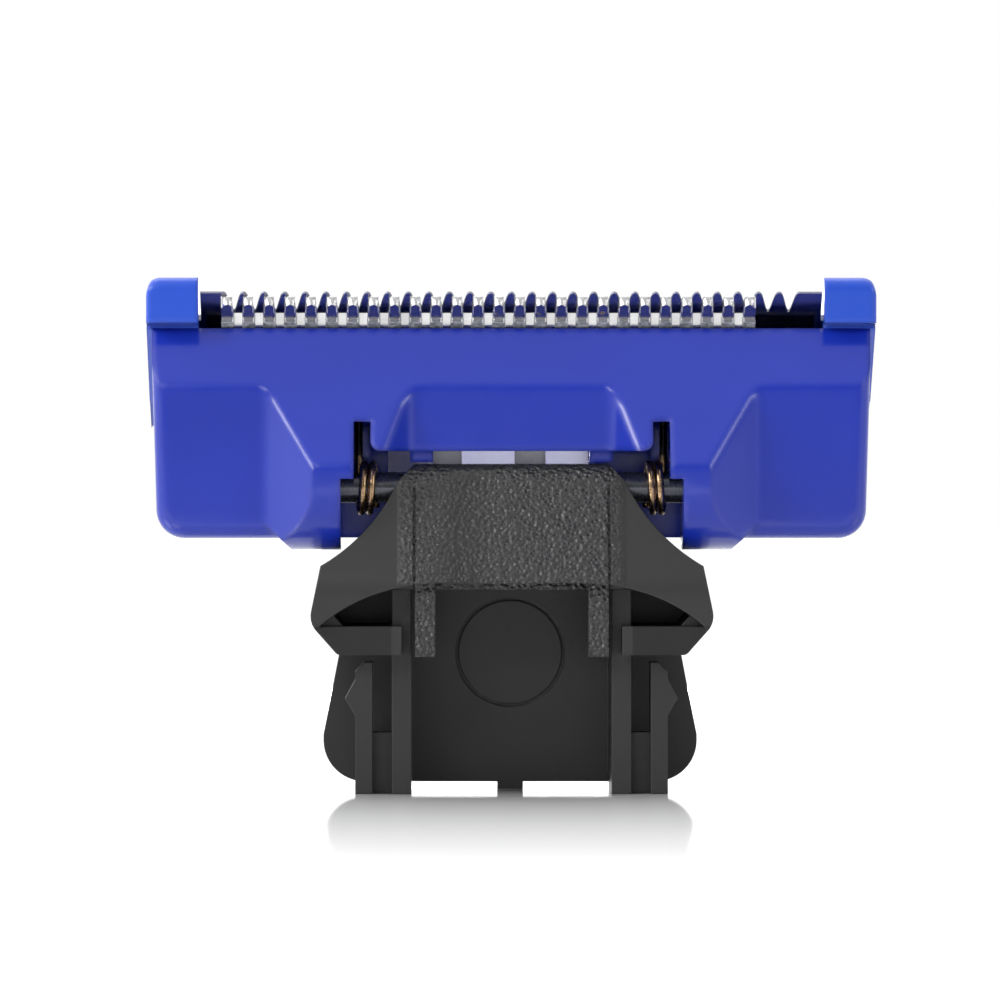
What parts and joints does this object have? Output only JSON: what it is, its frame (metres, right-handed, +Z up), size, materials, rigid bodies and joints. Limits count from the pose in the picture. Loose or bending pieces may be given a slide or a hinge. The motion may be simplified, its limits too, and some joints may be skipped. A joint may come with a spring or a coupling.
{
  "type": "shaver head",
  "caption": "Pivoting trimmer head with a fixed comb, a sliding cutter and a sprung hinge on a snap-in neck for a cordless shaver handle.",
  "frame": {"origin": "middle of the part's footprint, on the surface that the feet of the neck's legs stand on", "axes": "+X along the blades, +Z up from the handle towards the blades, -Y the open handle side of the hood"},
  "size_m": [0.0384, 0.0112, 0.0271],
  "materials": {
    "blue_plastic": "glossy moulded blue",
    "black_plastic": "grained moulded black",
    "comb_steel": "polished",
    "cutter_steel": "ground",
    "grey_plastic": "moulded light grey",
    "pin_steel": "dark polished",
    "spring_wire": "drawn bronze wire",
    "leaf_steel": "rolled spring strip"
  },
  "bodies": {
    "neck": {"neck": "black_plastic", "left_pivot_pin": "pin_steel", "right_pivot_pin": "pin_steel", "left_torsion_spring": "spring_wire", "right_torsion_spring": "spring_wire"},
    "head": {"head_housing": "blue_plastic", "left_end_cap": "blue_plastic", "right_end_cap": "blue_plastic", "comb": "comb_steel", "left_leaf_spring": "leaf_steel", "right_leaf_spring": "leaf_steel"},
    "cutter": {"cutter": "cutter_steel", "cutter_carriage": "grey_plastic"}
  },
  "joints": [
    {"name": "head_pivot", "type": "hinge", "parent": "neck", "child": "head", "pos_m": [0, -0.00235, 0.01605], "axis": [1, 0, 0], "range_deg": [0, 20], "stiffness_Nm_per_rad": 0.018, "springref_deg": -1.72, "deforming": ["left_torsion_spring", "right_torsion_spring"]},
    {"name": "cutter_slide", "type": "slide", "parent": "head", "child": "cutter", "axis": [1, 0, 0], "range_m": [0, 0.0024]}
  ]
}
